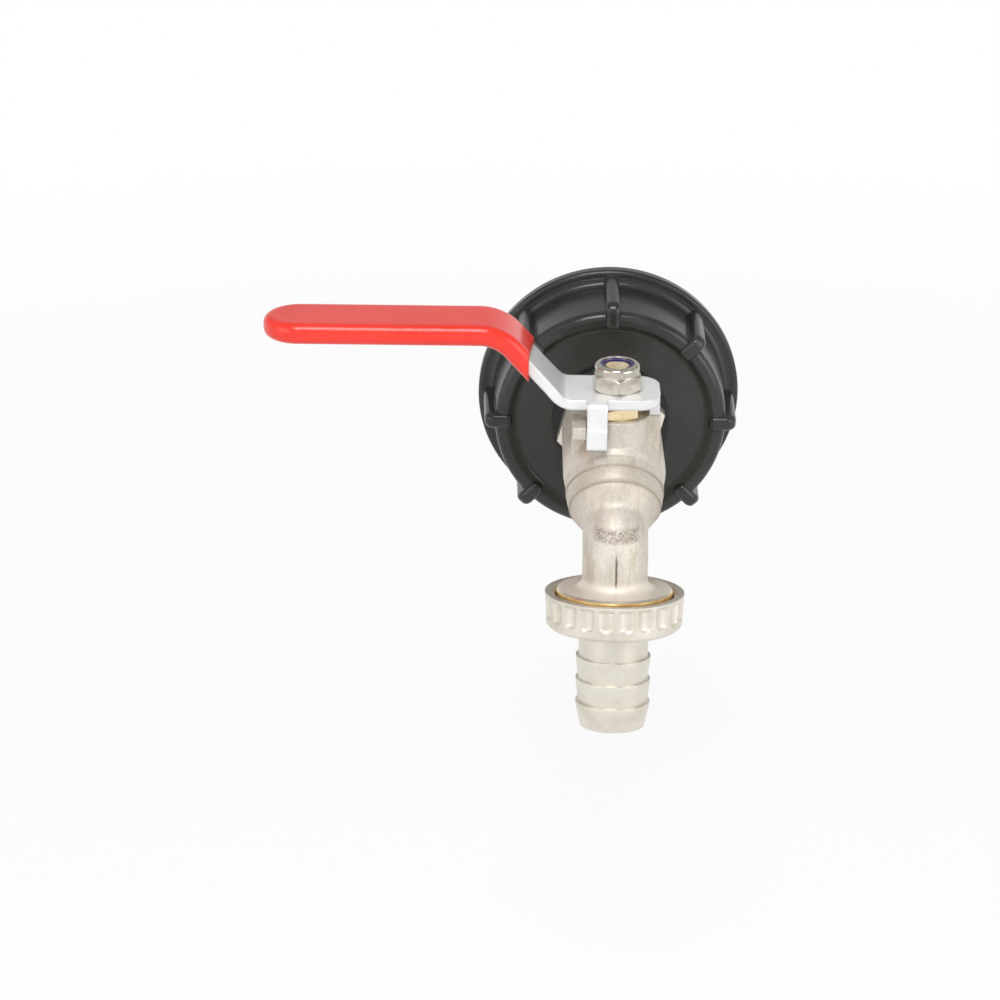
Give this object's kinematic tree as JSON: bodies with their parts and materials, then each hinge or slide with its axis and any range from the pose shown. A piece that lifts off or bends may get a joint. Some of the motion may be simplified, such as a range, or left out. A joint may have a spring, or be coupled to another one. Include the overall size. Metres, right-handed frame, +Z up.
{
  "type": "tank valve",
  "caption": "Screw-on cap for a bulk liquid container with a lever ball tap, leaning spout, union nut and barbed hose tail.",
  "frame": {"origin": "the middle of the cap's open mouth, on the tank thread's axis", "axes": "+Y along the tank thread into the tank, +Z up along the stem, +X to the right seen from the tap"},
  "size_m": [0.1405, 0.1117, 0.1137],
  "materials": {
    "cap_plastic": "moulded, satin",
    "black_rubber": "smooth",
    "nickel_cast": "cast, nickel plated",
    "nickel_turned": "turned, nickel plated",
    "raw_brass": "turned",
    "ball_chrome": "polished",
    "lever_steel": "plated",
    "grip_red": "dipped",
    "nylon_blue": "smooth",
    "seat_plastic": "smooth"
  },
  "bodies": {
    "valve": {"cap_shell": "cap_plastic", "cap_gasket": "black_rubber", "inlet_gasket": "black_rubber", "inlet_nipple": "nickel_turned", "valve_body": "nickel_cast", "inlet_seat": "seat_plastic", "outlet_seat": "seat_plastic", "stem_thrust_washer": "seat_plastic", "stem_o_ring": "black_rubber", "stem_packing": "seat_plastic", "gland_nut": "raw_brass"},
    "lever": {"lever_arm": "lever_steel", "lever_grip": "grip_red", "lock_nut": "lever_steel", "nylon_insert": "nylon_blue", "valve_stem": "raw_brass"},
    "ball": {"ball": "ball_chrome"},
    "hose_connector": {"hose_tail": "nickel_turned", "hose_gasket": "black_rubber"},
    "union_nut": {"union_nut": "nickel_turned"}
  },
  "joints": [
    {"name": "lever_turn", "type": "hinge", "parent": "valve", "child": "lever", "pos_m": [0, -0.066, 0], "axis": [0, 0, 1], "range_deg": [0, 90]},
    {"name": "ball_turn", "type": "hinge", "parent": "valve", "child": "ball", "pos_m": [0, -0.066, 0], "axis": [0, 0, 1], "range_deg": [0, 90]},
    {"name": "hose_connector_drop", "type": "slide", "parent": "valve", "child": "hose_connector", "axis": [0, -0.1942, -0.981], "range_m": [0, 0.00462]},
    {"name": "union_nut_spin", "type": "hinge", "parent": "hose_connector", "child": "union_nut", "pos_m": [0, -0.091, -0.026], "axis": [0, -0.1942, -0.981], "range_deg": [0, 720]}
  ],
  "couplings": [
    {"joint": "ball_turn", "follows": "lever_turn", "ratio": 1},
    {"joint": "union_nut_spin", "follows": "hose_connector_drop", "rad_per_m": 2721.2}
  ]
}
